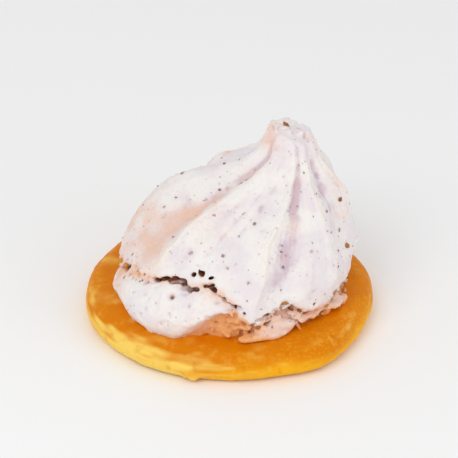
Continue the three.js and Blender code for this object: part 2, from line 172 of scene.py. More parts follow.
# Lumps on the peak, which end it bluntly, and a dent between them: offset from its middle, height and radius
PEAK_LUMPS = [(-3.2, 0.3, 31.7, 1.2), (3.3, 0.0, 30.4, 1.2), (-1.2, -0.6, 32.3, 0.9),
              (1.7, -0.3, 31.3, 0.8), (-3.9, -0.6, 30.6, 1.2)]
PEAK_DENT = (-1.9, 0.2, 34.3, 1.5)
# Small torn tips round the top: offset from its middle, height and radius
PEAK_TIPS = [(-3.7, -0.5, 33.0, 0.6), (-2.7, -1.5, 33.1, 0.5), (-0.3, -1.9, 32.2, 0.5),
             (1.9, -1.4, 31.6, 0.5), (3.5, -0.5, 31.0, 0.6)]
# The peak's torn top: its height at the left and at the right, how far to each side of the middle they are,
# the height where it starts to count, and the rounding of its edge
PEAK_CUT, PEAK_CUT_REACH, PEAK_CUT_FROM, PEAK_CUT_ROUND = (32.9, 30.6), (-2.5, 4.5), 28.6, 0.6
# Scattered flakes, crumbs and holes, and the least and greatest of their radii
FLAKE_COUNT, CRUMB_COUNT, PORE_COUNT, PINHOLE_COUNT = 110, 170, 420, 110
CRUMBLY_COUNT, DIMPLE_COUNT = 70, 60
FLAKE_SIZES = [(0.7, 2.0), (0.6, 1.1), (0.2, 0.36)]
CRUMB_SIZES, PORE_SIZE, PORE_LARGER, PINHOLE_SIZES = (0.28, 0.62), 0.22, 0.5, (0.22, 0.46)
CRUMBLY_SIZES, DIMPLE_SIZES = (0.25, 0.5), (0.25, 0.8)
# Roughness of the skin, of the torn edges and of the foot: cell size, shift and height of each noise
SKIN_RELIEF = [(5.2, 0, 0.27), (2.4, 3.3, 0.23), (1.0, 7.7, 0.1)]
TORN_RELIEF = [(2.1, 15.1, 0.3), (1.2, 5.1, 0.2), (0.6, 2.9, 0.08)]
FOOT_RELIEF = [(2.4, 11.1, 0.5), (1.15, 21.3, 0.34), (0.55, 31.7, 0.16)]
# Streaks along the piping: how many to a swirl line, length, shift and height
STREAKS = [(5, 14, 0.5, 0.2), (13, 9, 4.5, 0.12)]

# Nuts
SPECK_COUNT, FOOT_BITS, BODY_BITS = 150, 46, 3
# Specks that are placed one by one: angle and height
PLACED_SPECKS = [(11.5, 16.8), (17.5, 15), (17.5, 13.5), (-19.5, 18), (-0.5, 12.2), (-14.5, 13.8),
                 (-45.5, 20), (-21.5, 15.2), (24, 26.5), (46.5, 20.2), (42.5, 17.8), (-88.5, 16),
                 (-107.5, 16.5), (-103.5, 20.5), (-136.5, 20.2), (-74.5, 20.8), (-14.5, 19.8), (57.5, 10),
                 (71, 14), (13, 16), (-39.5, 14.5)]
# Pieces that are placed one by one: angle, height and size
PLACED_BITS = [(24.5, 6.8, 0.62), (28.5, 5.8, 0.62), (29.5, 4.8, 0.5), (22.5, 5.8, 0.35),
               (74.5, 10.8, 0.65)]
# The piece on the peak: offset from its middle, and size
PEAK_BIT = (-0.4, 1.0, 0.62)

# Colours of the meringue's skin. A patch has an angle, width, strength, and heights where it starts and ends
ALWAYS, NEVER = (-9, -8), (90, 91)
BROWN_FOOT, BROWN_SEAT, BROWN_SEAT_TO = 0.28, 0.5, 1.8
BROWN_PATCHES = [(-4, 19, 0.62, ALWAYS, NEVER), (50, 18, 0.22, ALWAYS, NEVER)]
# Browning where the meringue meets the biscuit: less on the lobe, more at one side, and up to a height
SEAM, SEAM_LOBE, SEAM_SIDE, SEAM_TO = 0.12, 0.08, (33, 17, 0.6), 1.7
# Pink-beige tinge: in the groove on the left partly toasting and partly painted shade, on the sides partly
# painted shade and reflection of the biscuit
TINTED_GROOVE, GROOVE_WIDTHS, GROOVE_NARROWS = -70, (17, 9), (12, 22)
GROOVE_STRENGTHS, GROOVE_RISES, GROOVE_FADES = (0.62, 0.2), (8, 12), (12, 24)
TINTED_BACK = [(-108, 24, 0.25, ALWAYS, (9, 18))]
TINTED_SIDES = [(-80, 35, 0.16, ALWAYS, NEVER), (76, 20, 0.5, ALWAYS, NEVER)]
TINTED_TIPS = [(-96, 11, 0.38, (6, 9), (12, 17)), (-78, 11, 0.55, (1.5, 4), (5.5, 8)),
               (-80, 55, 0.6, (27, 31.5), NEVER), (75, 12, 0.22, (7, 11), (20, 26)),
               (-36, 15, 0.12, (15, 20), (23, 28))]
SIDES_TINT, EDGE_TINT, EDGE_TINT_REACH, FOOT_TINT = 0.2, 0.45, 0.9, 0.6
FOOT_PATCH, FOOT_PATCH_TO, LOBE_END_TINT = (22, 11, 0.6), (0.35, 0.9), (-13, 8, 0.2)
SHADED_GROOVE = [(16, 8, 1, (7, 13), (15, 21))]
# The crack's painted shade reaches up to here with its fade, and is browner than purple round this angle,
# with its width
DARK_CRACK_TO, WARM_CRACK = (-15, -11), (-28, 45)
# How far round a point its hollows are measured
HOLLOW_REACHES = (0.75, 1.5, 3.2)

# Resolution of the meringue's skin, what stands for far off, and how far from the skin roughness reaches
VOXEL = 0.25
FAR_OFF, NEAR_SKIN = 4.0, 2.2
ANGLE_STEP = 0.5
TABLE_ANGLES = np.arange(-180, 180, ANGLE_STEP)


# Curves and noise

def smooth(x):
    """Smoothstep from 0 to 1."""
    x = np.clip(x, 0, 1)
    return x * x * (3 - 2 * x)


def step(x, start, end):
    """Smoothstep of x from start to end."""
    return smooth((x - start) / (end - start))


def band(x, rise, fade):
    """1 in the middle of a band, which rises over the first pair of x and fades over the second."""
    return step(x, *rise) * (1 - step(x, *fade))


def wrapped(angle):
    """The angle from -180 to 180."""
    return (angle + 180) % 360 - 180


def hill(angle, centre, width, tall=1):
    """A rounded hill at one angle."""
    return tall * np.exp(-(wrapped(angle - centre) / width) ** 2)


def mix(low, high, share):
    return low + (high - low) * share


def along(rows, x):
    """The value at x on straight lines through (x, value) rows."""
    return np.interp(x, *zip(*rows))


def round_the_clock(rows, angle):
    """The value at an angle on a soft line through (angle, value) rows, once round."""
    starts = np.array([row[0] for row in rows] + [rows[0][0] + 360])
    values = np.array([row[1] for row in rows] + [rows[0][1]])
    x = (angle - starts[0]) % 360 + starts[0]
    k = np.clip(np.searchsorted(starts, x, side="right") - 1, 0, len(rows) - 1)
    share = (x - starts[k]) / (starts[k + 1] - starts[k])
    return mix(values[k], values[k + 1], smooth(share))


def spline(points, steps):
    """A Catmull-Rom line through the points, with its ends doubled."""
    points = np.array(points, float)
    padded = np.vstack([points[:1], points, points[-1:]])
    t = (np.arange(steps) / steps)[:, None]
    out = []
    for a, b, c, d in zip(padded, padded[1:], padded[2:], padded[3:]):
        bend = (2 * a - 5 * b + 4 * c - d) * t ** 2 + (3 * b - a - 3 * c + d) * t ** 3
        out.append(0.5 * (2 * b + (c - a) * t + bend))
    return np.vstack(out + [points[-1:]])


def soft_max(a, b, round_off):
    """The larger of two distances, with the corner between them rounded."""
    share = np.clip(0.5 + 0.5 * (a - b) / round_off, 0, 1)
    return mix(b, a, share) + round_off * share * (1 - share)


def cell_number(i, j, k):
    """A number from 0 to 1 that belongs to a cell of space."""
    s = np.sin(i * 127.1 + j * 311.7 + k * 74.7) * 43758.5453
    return s - np.floor(s)


def noise(x, y, z):
    """Smooth noise from -1 to 1, with cells of side 1."""
    i, j, k = np.floor(x), np.floor(y), np.floor(z)
    u, v, w = smooth(x - i), smooth(y - j), smooth(z - k)
    total = np.zeros(np.broadcast(x, y, z).shape)
    for corner in range(8):
        a, b, c = corner & 1, corner >> 1 & 1, corner >> 2 & 1
        weight = (u if a else 1 - u) * (v if b else 1 - v) * (w if c else 1 - w)
        total += weight * cell_number(i + a, j + b, k + c)
    return 2 * total - 1


def noise_at(points, size, shift=0.0):
    """Noise at rows of points, with cells of the given size."""
    p = points / size + shift
    return noise(p[..., 0], p[..., 1], p[..., 2])


def relief_at(points, waves):
    """The sum of noises at points, each with its cell size, shift and height."""
    return sum(tall * noise_at(points, size, shift) for size, shift, tall in waves)


def noise_round(angle, height, width, tall, shift=0.0):
    """Noise round the foot, with cells of the given width and height."""
    a = np.radians(angle)
    x, y = FOOT_RADIUS * np.sin(a) / width, FOOT_RADIUS * np.cos(a) / width
    return noise(x + shift, y, height / tall + shift)


# The meringue's form

BODY_LINE = spline(BODY, 24)


def swirl(angle, height):
    """Share of the ridge depth, and a number that counts the lines gone by, at angles for one height."""
    angles = [np.interp(height, LINE_HEIGHTS, line[0]) for line in LINES]
    shares = [np.interp(height, LINE_HEIGHTS, line[1]) for line in LINES]
    sharps = [line[2] for line in LINES]
    x = (angle - angles[0]) % 360 + angles[0]
    edges = np.array(angles + [angles[0] + 360])
    share = np.array(shares + shares[:1])
    sharp = np.array(sharps + sharps[:1])
    k = np.clip(np.searchsorted(edges, x, side="right") - 1, 0, len(LINES) - 1)
    f = (x - edges[k]) / (edges[k + 1] - edges[k])
    rise = share[k + 1] - share[k]
    leave = sharp[k] * SHARP_SLOPE * rise * (f ** 3 - 2 * f ** 2 + f)
    arrive = sharp[k + 1] * SHARP_SLOPE * rise * (f ** 3 - f ** 2)
    return share[k] + rise * smooth(f) + leave + arrive, k + f


def thin_lines(angle, height, radius):
    """Height of the thin raised lines along the crests, which come and go."""
    total = 0
    for number, (line, tall) in enumerate(zip(LINES, BEADS)):
        if tall:
            wander = 1.1 * noise(height / 3.5, number + 0.5, 0.5)
            away = wrapped(angle - np.interp(height, LINE_HEIGHTS, line[0]) - wander)
            strength = 0.75 + 0.45 * noise(height / 4.0, number + 0.5, 7.5)
            total = total + tall * strength * np.exp(-(np.radians(away) * radius / BEAD_WIDTH) ** 2)
    return total * band(height, BEAD_FROM, BEAD_TO)


def torn_ridge(angle, height, radius):
    """Height of the raised, torn ridge at the back left."""
    away = wrapped(angle - np.interp(height, LINE_HEIGHTS, LINES[TORN_RIDGE][0]))
    tear_height = 0.65 + 0.4 * noise(height / 3.1, 3.5, 0.5) + 0.3 * noise(height / 1.2, 8.5, 0.5)
    profile = np.exp(-(np.radians(away) * radius / TORN_WIDTH) ** 2)
    return TORN_HEIGHT * tear_height * profile * band(height, TORN_FROM, TORN_TO)


def body_radius(angle, height):
    """Radius of the piped body at angles for one height."""
    radius = np.interp(height, BODY_LINE[:, 0], BODY_LINE[:, 1])
    for side in SLIM_SIDES:
        radius = radius * (1 - hill(angle, *side) * band(height, *SHOULDER))
    radius = radius + swirl(angle, height)[0] * along(RIDGE_DEPTH, height)
    radius = radius + hill(angle, *LEFT_SHOULDER) * band(height, *LEFT_SHOULDER_AT)
    height = np.float64(height)
    return np.maximum(radius + thin_lines(angle, height, radius) + torn_ridge(angle, height, radius), 0)


def section_middle(height):
    """Middle of the section at a height."""
    lean = step(height, LEAN_FROM, LEAN_TO)
    return mix(MIDDLE[0], PEAK_MIDDLE[0], lean), mix(MIDDLE[1], PEAK_MIDDLE[1], lean)


def lobe_at(angle, up):
    """How much of the smooth lobe there is at an angle and a share of the foot's height."""
    end = mix(LOBE_LOW_END, LOBE_HIGH_END, up)
    return band(angle, (LOBE_START, LOBE_START + LOBE_START_FADE), (end, end + LOBE_END_FADE))


def foot_radius(angle, height, top, edge):
    """Radius of the foot at angles for one height, below its top, where it meets the edge's radius."""
    up = np.clip(height / top, 0, 1)
    lobe = lobe_at(angle, up)
    count, depth, start = FOOT_WAVES
    corner = hill(angle, LOBE_CORNER, LOBE_CORNER_WIDTH)
    wave = depth * np.cos(np.radians(count * angle + start))
    base = FOOT_RADIUS + LOBE_BASE * lobe + wave + CORNER_BASE * corner
    bulge = FOOT_RADIUS + FOOT_BULGE + LOBE_BULGE * lobe + CORNER_BULGE * corner
    edge = edge - mix(FOOT_INSIDE, LOBE_INSIDE, lobe)
    pull = 2 * bulge - (base + edge) / 2
    return (1 - up) ** 2 * base + 2 * up * (1 - up) * pull + up ** 2 * edge


def pick(table, angle):
    """Values at angles from a row of values at TABLE_ANGLES."""
    return np.interp(angle, TABLE_ANGLES, table, period=360)


def tear(waves, shift):
    """Uneven height of a torn edge all round, rougher and finer in some places than in others."""
    rough = 0.35 + 0.65 * step(noise_round(TABLE_ANGLES, 0.5, 6.5, 1, shift + 2), -0.5, 0.5)
    wander = 5.0 * noise_round(TABLE_ANGLES, 0.5, 3.3, 1, shift + 8)
    angle = TABLE_ANGLES + wander + 9.0 * noise_round(TABLE_ANGLES, 0.5, 8, 1, 6)
    return sum(tall * noise_round(angle, 0.5, wide, 1, shift + wide) for wide, tall in waves) * rough


class Field:
    """Distances to the meringue's skin on a grid of points, below 0 inside it."""

    def __init__(self):
        margin = 2.0
        low = np.array([meringue_low[0], meringue_low[1], SEAT]) - margin
        high = meringue_high + margin
        self.low = low
        counts = np.ceil((high - low) / VOXEL).astype(int)
        self.axes = [low[k] + VOXEL * np.arange(counts[k]) for k in range(3)]
        self.values = np.full(counts, FAR_OFF, np.float32)

    def edges_round(self):
        """The torn lip's height, the crack under it and the foot's edge, all round."""
        gape = hill(TABLE_ANGLES, GAPE_ANGLE, GAPE_WIDTH)
        pinched = band(TABLE_ANGLES, PINCHED_FROM, PINCHED_TO)
        self.lip = round_the_clock(LIP, TABLE_ANGLES) + tear(TEAR_WAVES, 0) * (1 - CALM_LIP * pinched)
        open_part = CRACK_HEIGHT - CRACK_LOWER + (GAPE_HEIGHT - CRACK_LOWER) * gape + tear(GAP_WAVES, 9)
        shut = pinched * (SHUT + SHUT_AT_END * step(TABLE_ANGLES, *SHUT_END_FROM))
        self.gap = np.maximum(open_part * (1 - shut), THINNEST_GAP)
        self.depth = CRACK_DEPTH + GAPE_DEPTH * gape
        self.lip_edge = np.array([float(body_radius(a, h)) for a, h in zip(TABLE_ANGLES, self.lip)])
        self.foot_top = self.lip - self.gap / 2
        self.foot_edge = foot_radius(TABLE_ANGLES, self.foot_top, self.foot_top, self.lip_edge)

    def to_body(self, height, angle, r, dx):
        """Distances to the piped body's side and to the peak's torn top, for one height."""
        lift = 0.1
        h = min(max(height, 0), HEIGHT)
        here = body_radius(TABLE_ANGLES, h)
        slope_up = (body_radius(TABLE_ANGLES, min(h + lift, HEIGHT)) - here) / lift
        slope_round = np.gradient(here, np.radians(ANGLE_STEP)) / np.maximum(here, 1)
        sway = (np.array(section_middle(height + lift)) - np.array(section_middle(height))) / lift
        a = np.radians(TABLE_ANGLES)
        slope_up = slope_up + sway[0] * np.sin(a) - sway[1] * np.cos(a)
        distance = (r - pick(here, angle)) / pick(np.sqrt(1 + slope_up ** 2 + slope_round ** 2), angle)
        if height > PEAK_CUT_FROM:
            cut = mix(*PEAK_CUT, step(dx, *PEAK_CUT_REACH))
            distance = soft_max(distance, height - cut, PEAK_CUT_ROUND)
        return distance

    def to_foot(self, height, angle, r):
        """Distances to the foot's side, for one height."""
        h = min(max(height, 0), HEIGHT)
        return (r - pick(foot_radius(TABLE_ANGLES, h, self.foot_top, self.lip_edge), angle)) * FOOT_SLOPE

    def shape(self):
        """Lays the smooth form into the grid, one height at a time."""
        self.edges_round()
        x, y = np.meshgrid(self.axes[0], self.axes[1], indexing="ij")
        for k, z in enumerate(self.axes[2]):
            height = z - SEAT
            x0, y0 = section_middle(height)
            dx, dy = x - x0, y - y0
            angle = np.degrees(np.arctan2(dx, -dy))
            r = np.hypot(dx, dy)
            lip, gap = pick(self.lip, angle), pick(self.gap, angle)
            inward = np.clip(pick(self.lip_edge, angle) - r, 0, CRACK_REACH)
            under = lip + gap / 2 * (1 - CRACK_TAPER * step(inward, 0, CRACK_TAPER_TO))
            under = under - LIP_DROOP * np.exp(-inward / LIP_DROOP_REACH)
            top = lip - gap / 2 + FOOT_RISE * step(inward, *FOOT_RISE_FROM)
            body = soft_max(self.to_body(height, angle, r, dx), (under - height) * WALL_SLOPE, LIP_ROUND)
            foot = soft_max(self.to_foot(height, angle, r), (height - top) * WALL_SLOPE, FOOT_ROUND)
            core = np.maximum(r - pick(self.foot_edge - self.depth, angle), height - lip - CORE_RISE)
            solid = np.minimum(np.minimum(body, foot), core)
            self.values[:, :, k] = np.maximum(solid, -height - SUNK)

    def roughen(self):
        """Adds dents, streaks along the piping, torn edges and a ragged foot to the skin."""
        index = np.nonzero(np.abs(self.values) < NEAR_SKIN)
        p = np.stack([self.axes[k][index[k]] for k in range(3)], -1)
        angle, height, above, lobe = self.zones(p)
        phase = self.phase(angle, height)
        streak = sum(tall * noise(phase * many, height / long, shift) for many, long, shift, tall in STREAKS)
        torn = np.exp(-((height - pick(self.lip, angle)) / (0.7 + pick(self.gap, angle))) ** 2)
        ragged = (1 - above) * (1 - lobe) * (0.55 + 0.75 * step(noise_at(p, 5.0, 71.0), -0.4, 0.5))
        lift = relief_at(p, SKIN_RELIEF) + streak * above * step(height, 6, 14)
        lift += torn * relief_at(p, TORN_RELIEF) + ragged * relief_at(p, FOOT_RELIEF)
        self.values[index] -= lift.astype(np.float32)

    def zones(self, p):
        """Angles and heights of points, and how much each is of the body above the lip and of the lobe."""
        height = p[:, 2] - SEAT
        x0, y0 = section_middle(height)
        angle = np.degrees(np.arctan2(p[:, 0] - x0, y0 - p[:, 1]))
        lip = pick(self.lip, angle)
        above = step(height - lip, -0.3, 1.0)
        up = np.clip(height / lip, 0, 1)
        patch = hill(angle, *SMOOTH_PATCH) * (1 - step(up, 0.45, 0.75))
        return angle, height, above, np.maximum(lobe_at(angle, up), patch) * (1 - above)

    def between(self, rule, angle, height, turn=None):
        """Values at any points of a rule that is worked out at TABLE_ANGLES for each millimetre of height."""
        table = np.array([rule(TABLE_ANGLES, min(h, HEIGHT)) for h in np.arange(0, HEIGHT + 1, 1.0)])
        i = np.clip(((angle + 180) / ANGLE_STEP).astype(int), 0, len(TABLE_ANGLES) - 1)
        at = np.clip(height, 0, HEIGHT - 0.01)
        k = at.astype(int)
        low, high = table[k, i], table[k + 1, i]
        if turn:
            high = high - turn * np.round((high - low) / turn)
        return mix(low, high, at - k)

    def phase(self, angle, height):
        """The count of swirl lines gone by, at any points."""
        return self.between(lambda a, h: swirl(a, h)[1], angle, height, turn=len(LINES))

    def ball(self, centre, radii, turn, add, soft=0.1):
        """Joins an ellipsoid to the solid or takes it out, with its edge blended in."""
        reach = max(radii) + soft + 2 * VOXEL
        lows = [max(int((centre[k] - reach - self.low[k]) / VOXEL), 0) for k in range(3)]
        highs = [int((centre[k] + reach - self.low[k]) / VOXEL) + 2 for k in range(3)]
        window = tuple(slice(a, b) for a, b in zip(lows, highs))
        grid = np.meshgrid(*[self.axes[k][window[k]] - centre[k] for k in range(3)], indexing="ij")
        local = (np.stack(grid, -1) @ turn) / np.array(radii)
        size = np.sqrt((local ** 2).sum(-1)) + 1e-6
        slope = np.sqrt((local ** 2 / np.square(radii)).sum(-1)) + 1e-6
        distance = ((size - 1) * size / slope).astype(np.float32)
        here = self.values[window]
        self.values[window] = -soft_max(-here, -distance, soft) if add else soft_max(here, -distance, soft)

    def blurred(self, reach):
        """The distances averaged over a box that reaches this far."""
        n = max(int(round(reach / VOXEL)), 1)
        out = np.clip(self.values, -3, 3).astype(np.float64)
        for axis in range(3):
            pad = [(0, 0)] * 3
            pad[axis] = (n + 1, n)
            total = np.cumsum(np.pad(out, pad, mode="edge"), axis=axis)
            count = out.shape[axis]
            high = np.take(total, np.arange(2 * n + 1, 2 * n + 1 + count), axis=axis)
            low = np.take(total, np.arange(0, count), axis=axis)
            out = (high - low) / (2 * n + 1)
        return out

    def sample(self, values, points):
        """Values at points between the grid's own."""
        at = (points - self.low) / VOXEL
        base = np.clip(np.floor(at).astype(int), 0, np.array(values.shape) - 2)
        f = at - base
        total = np.zeros(len(points))
        for corner in range(8):
            c = np.array([corner & 1, corner >> 1 & 1, corner >> 2 & 1])
            weight = np.prod(np.where(c, f, 1 - f), axis=1)
            total += weight * values[tuple((base + c).T)]
        return total

    def mesh(self):
        """Points and faces of the skin, the largest closed piece only."""
        grid = openvdb.FloatGrid(float(3 * VOXEL))
        grid.copyFromArray(np.clip(self.values, -3 * VOXEL, 3 * VOXEL))
        grid.transform = openvdb.createLinearTransform(voxelSize=VOXEL)
        points, triangles, quads = grid.convertToPolygons(isovalue=0.0, adaptivity=0.0)
        return largest_piece(points + self.low, quads.astype(np.int64)[:, ::-1])


def largest_piece(points, faces):
    """Keeps the largest connected piece of a mesh of quads."""
    label = np.arange(len(points))
    a = faces.ravel()
    b = np.roll(faces, -1, axis=1).ravel()
    while True:
        low = np.minimum(label[a], label[b])
        new = label.copy()
        np.minimum.at(new, a, low)
        np.minimum.at(new, b, low)
        new = new[new]
        if np.array_equal(new, label):
            break
        label = new
    names, counts = np.unique(label[faces[:, 0]], return_counts=True)
    kept = faces[label[faces[:, 0]] == names[np.argmax(counts)]]
    used, inverse = np.unique(kept, return_inverse=True)
    return points[used], inverse.reshape(kept.shape)


def facing(angle, rng, lean, tilt=0.0):
    """Sideways, outward and upward directions at an angle round the foot, tilted up and leaning at random."""
    a = math.radians(angle)
    square = np.array([[math.cos(a), math.sin(a), 0], [math.sin(a), -math.cos(a), 0], [0, 0, 1]]).T
    return square @ np.array(Euler(rng.normal(0, lean, 3) + (math.radians(tilt), 0, 0)).to_matrix())


def on_section(angle, radius, height):
    """The point at an angle and radius of the section at a height."""
    x0, y0 = section_middle(height)
    a = math.radians(angle)
    return np.array([x0 + radius * math.sin(a), y0 - radius * math.cos(a), height + SEAT])


def on_body(angle, height):
    """A point on the body's smooth surface."""
    return on_section(angle, float(body_radius(angle, height)), height)


def on_foot(field, angle, height, out=0.0):
    """A point on the foot's smooth surface, or further out."""
    top, edge = float(pick(field.foot_top, angle)), float(pick(field.lip_edge, angle))
    return on_section(angle, float(foot_radius(angle, height, top, edge)) + out, height)


def beside_lobe(field, rng):
    """A random angle where the foot is ragged, and the foot's height there."""
    angle = wrapped(rng.uniform(LOBE_HIGH_END - 8, 360 + LOBE_START + 14))
    return angle, float(pick(field.foot_top, angle))


def add_flakes(field, rng):
    """Lumps and tips of the peak, flaps and drips of the foot, and thin flakes all round it."""
    for sideways, back, height, radius in [PEAK_DENT] + PEAK_LUMPS:
        middle = on_section(0, 0, height) + (sideways, back, 0)
        is_lump = radius < PEAK_DENT[3]
        field.ball(middle, (radius, radius, radius * 0.9), facing(0, rng, 0.5), is_lump, soft=0.6)
    for sideways, back, height, radius in PEAK_TIPS:
        middle = on_section(0, 0, height) + (sideways, back, 0)
        field.ball(middle, (radius, radius * 0.8, radius * 1.9), facing(0, rng, 0.3), True, soft=0.3)
    for angle, height, out, radii in FLAPS:
        field.ball(on_foot(field, angle, height, out), radii, facing(angle, rng, 0.12), True, soft=0.4)
    for _ in range(FLAKE_COUNT):
        angle, top = beside_lobe(field, rng)
        place = on_foot(field, angle, rng.uniform(0.12, 0.95) * top, rng.uniform(-0.2, 0.35))
        radii = [rng.uniform(*sizes) for sizes in FLAKE_SIZES]
        field.ball(place, radii, facing(angle, rng, 0.35), True)


def add_openings(field, rng):
    """The dark openings of the crack, which run inward and down."""
    for angle, height, wide, tall in OPENINGS:
        radii = (wide, OPENING_DEPTH, tall)
        field.ball(on_body(angle, height), radii, facing(angle, rng, 0.25, OPENING_TILT), False, soft=0.15)


def add_crumbs(field, rng):
    """Crumbs and pores of the ragged foot."""
    for _ in range(CRUMB_COUNT):
        angle, top = beside_lobe(field, rng)
        place = on_foot(field, angle, rng.uniform(0.05, 1.0) * top, rng.uniform(-0.3, 0.2))
        field.ball(place, rng.uniform(*CRUMB_SIZES, 3), facing(angle, rng, 2), True)
    for _ in range(PORE_COUNT):
        angle, top = beside_lobe(field, rng)
        place = on_foot(field, angle, rng.uniform(0.08, 1.05) * top, rng.uniform(-0.35, 0.25))
        size = PORE_SIZE + PORE_LARGER * rng.beta(1.2, 3.5)
        field.ball(place, size * rng.uniform(0.75, 1.5, 3), facing(angle, rng, 2), False)


def add_holes(field, rng):
    """Holes along the crack, pinholes in the skin and dimples in the lobe."""
    for angle, height, radii in HOLES:
        field.ball(on_body(angle, height), radii, facing(angle, rng, 0.2), False, soft=0.12)
    centre, width, _ = CRUMBLY_END
    for _ in range(CRUMBLY_COUNT):
        angle = rng.normal(centre, width * 0.6)
        height = float(pick(field.lip, angle)) + rng.normal(-0.4, 0.8)
        size = rng.uniform(*CRUMBLY_SIZES)
        radii, turn = size * rng.uniform(0.7, 1.5, 3), facing(angle, rng, 0.5)
        field.ball(on_body(angle, height), radii, turn, rng.uniform() < 0.3, soft=0.12)
    for _ in range(PINHOLE_COUNT):
        angle, height = rng.uniform(-180, 180), rng.uniform(1.5, 27)
        size = rng.uniform(*PINHOLE_SIZES)
        if height > pick(field.lip, angle) + 1:
            field.ball(on_body(angle, height), (size,) * 3, facing(angle, rng, 2), False, soft=0.2)
    for _ in range(DIMPLE_COUNT):
        angle = rng.uniform(LOBE_START + 20, LOBE_HIGH_END - 4)
        size = rng.uniform(*DIMPLE_SIZES)
        height = rng.uniform(0.25, 0.98) * float(pick(field.foot_top, angle))
        place = on_foot(field, angle, height, 0.45 * size)
        field.ball(place, size * rng.uniform(0.7, 1.4, 3), facing(angle, rng, 0.4), False, soft=0.35)


# Blender meshes

def make_mesh(name, points, faces, smooth_shading=True):
    """An object from points in millimetres and faces of one size."""
    mesh = bpy.data.meshes.new(name)
    sides = faces.shape[1]
    mesh.vertices.add(len(points))
    mesh.vertices.foreach_set("co", (points * MM).ravel())
    mesh.loops.add(faces.size)
    mesh.loops.foreach_set("vertex_index", faces.ravel().astype(np.int32))
    mesh.polygons.add(len(faces))
    mesh.polygons.foreach_set("loop_start", np.arange(0, faces.size, sides, dtype=np.int32))
    mesh.polygons.foreach_set("use_smooth", np.full(len(faces), smooth_shading))
    mesh.update(calc_edges=True)
    mesh.validate()
    thing = bpy.data.objects.new(name, mesh)
    bpy.context.scene.collection.objects.link(thing)
    return thing


def add_values(thing, name, values):
    """Stores one number for each vertex, for the material to read."""
    layer = thing.data.attributes.new(name, "FLOAT", "POINT")
    layer.data.foreach_set("value", np.asarray(values, np.float32))


def directions(thing):
    """The normals of a mesh's vertices."""
    out = np.empty(len(thing.data.vertices) * 3, np.float32)
    thing.data.vertices.foreach_get("normal", out)
    return out.reshape(-1, 3).astype(float)


def lathe_faces(rows, sides):
    """Quads between the rows of a lathe."""
    ring = np.arange(rows - 1)[:, None] * sides
    along_ring = np.arange(sides)[None, :]
    beside = (along_ring + 1) % sides
    corners = [ring + along_ring, ring + beside, ring + sides + beside, ring + sides + along_ring]
    return np.stack(corners, -1).reshape(-1, 4)


def biscuit_outline():
    """Half the biscuit's section from the underside's middle to the top's, and the underside's radius."""
    edge = spline([(BISCUIT_RADIUS - inside, SEAT * up) for inside, up in BISCUIT_EDGE], EDGE_STEPS)
    flat = np.linspace(0.02, 1, FLAT_ROWS)[:-1, None]
    under = np.hstack([flat * edge[0, 0], np.zeros_like(flat)])
    over = np.hstack([flat[::-1] * edge[-1, 0], np.full_like(flat, SEAT)])
    return np.vstack([under, edge, over]), edge[0, 0]


def turned(out, up, a):
    """Outward and upward parts of a profile, turned to the angles in radians."""
    out = out * np.ones_like(a)
    return np.stack([out * np.sin(a), -out * np.cos(a), np.broadcast_to(up, out.shape)], -1)


def biscuit_relief(points, r, a):
    """How far the biscuit's skin stands out, its smears and its pits."""
    z = points[..., 2]
    round_rim = a * BISCUIT_RADIUS
    smear = sum(share * noise(round_rim / long, z / tall, shift) for long, tall, shift, share in SMEARS)
    pits = np.clip(noise_at(points, PIT_SIZE, 40.4) - PIT_FROM, 0, 1) * PIT_DEPTH
    lift = relief_at(points, BISCUIT_RELIEF) + SMEAR_LIFT * smear * (r > BISCUIT_RADIUS - SMEARED_RIM) - pits
    for angle, height, size in RIM_CRUMBS:
        c = math.radians(angle)
        away = np.linalg.norm(points - (CRUMBS_AT * math.sin(c), -CRUMBS_AT * math.cos(c), height), axis=-1)
        lift += CRUMB_LIFT * size * np.exp(-(away / size) ** 4) * (1 + 0.5 * noise_at(points, 0.8, 3.9))
    return lift, smear, pits


def close_ends(thing, rows, sides):
    """Closes a lathe with fans of triangles round its last two points, which are on the axis."""
    mesh = bmesh.new()
    mesh.from_mesh(thing.data)
    mesh.verts.ensure_lookup_table()
    last = (rows - 1) * sides
    low, high = mesh.verts[-2], mesh.verts[-1]
    for k in range(sides):
        j = (k + 1) % sides
        mesh.faces.new((low, mesh.verts[j], mesh.verts[k]))
        mesh.faces.new((high, mesh.verts[last + k], mesh.verts[last + j]))
    for face in mesh.faces:
        face.smooth = True
    mesh.to_mesh(thing.data)
    mesh.free()


def colour_biscuit(thing, points, smear, pits):
    """Stores what the biscuit's material reads."""
    angle = np.degrees(np.arctan2(points[:, 0], -points[:, 1]))
    outward = np.hypot(points[:, 0], points[:, 1])
    # Painted light: paler low down and at the front left, and yellow down the side and on the rim
    uneven_height = points[:, 2] + 1.6 * noise_at(points, 3.6, 6.1)
    pale = (PALE_SHARE + hill(angle, *PALE_SIDE)) * (1 - step(uneven_height, *PALE_TO))
    side, rim = YELLOW_SIDE, YELLOW_RIM
    low = side[0] * (1 - step(points[:, 2], *side[1:])) + rim[0] * step(outward, *rim[1:])
    add_values(thing, "pits", np.append(pits.ravel() * 4, [0, 0]))
    add_values(thing, "smear", np.append(smear.ravel(), [0, 0]))
    add_values(thing, "low", low)
    add_values(thing, "grainy", hill(angle, *GRAINY_SIDE) * step(outward, *GRAINY_FROM))
    add_values(thing, "pale", pale)


